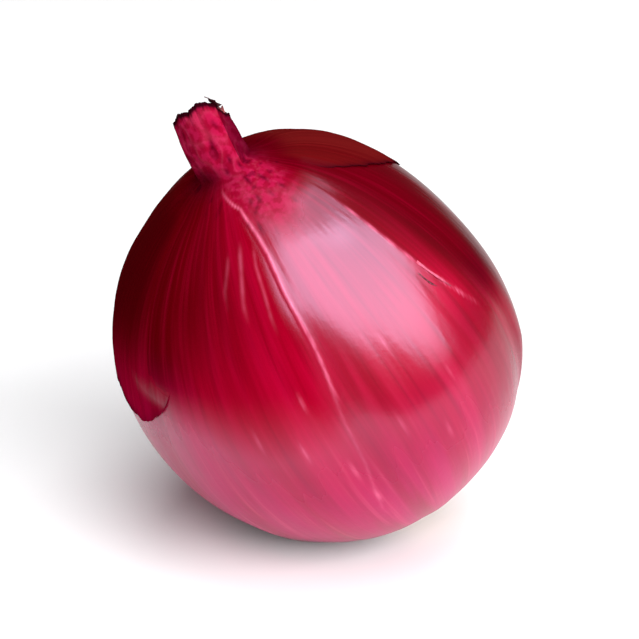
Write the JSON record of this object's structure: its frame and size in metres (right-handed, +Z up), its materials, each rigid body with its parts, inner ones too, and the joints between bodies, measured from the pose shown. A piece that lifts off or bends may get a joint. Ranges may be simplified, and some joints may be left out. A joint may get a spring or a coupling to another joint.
{
  "type": "onion",
  "caption": "Dried red onion with a bulb of papery skin, a cut neck and a root plate, lying slightly tilted on a small flat spot.",
  "frame": {"origin": "on the small flat spot that the onion rests on, straight below the middle of the belly", "axes": "+Z up; +X to the right and +Y away as seen in the picture's view; the neck leans up to -X and slightly to -Y, and the root end points down to +X"},
  "size_m": [0.0625, 0.0589, 0.0721],
  "materials": {
    "red_skin": "dry onion skin, deep crimson, satin gloss with pale lengthwise veins",
    "root_tan": "dry corky root plate and root stubs, matt tan"
  },
  "bodies": {
    "root": {"bulb": "red_skin", "root_plate": "root_tan"}
  },
  "joints": []
}
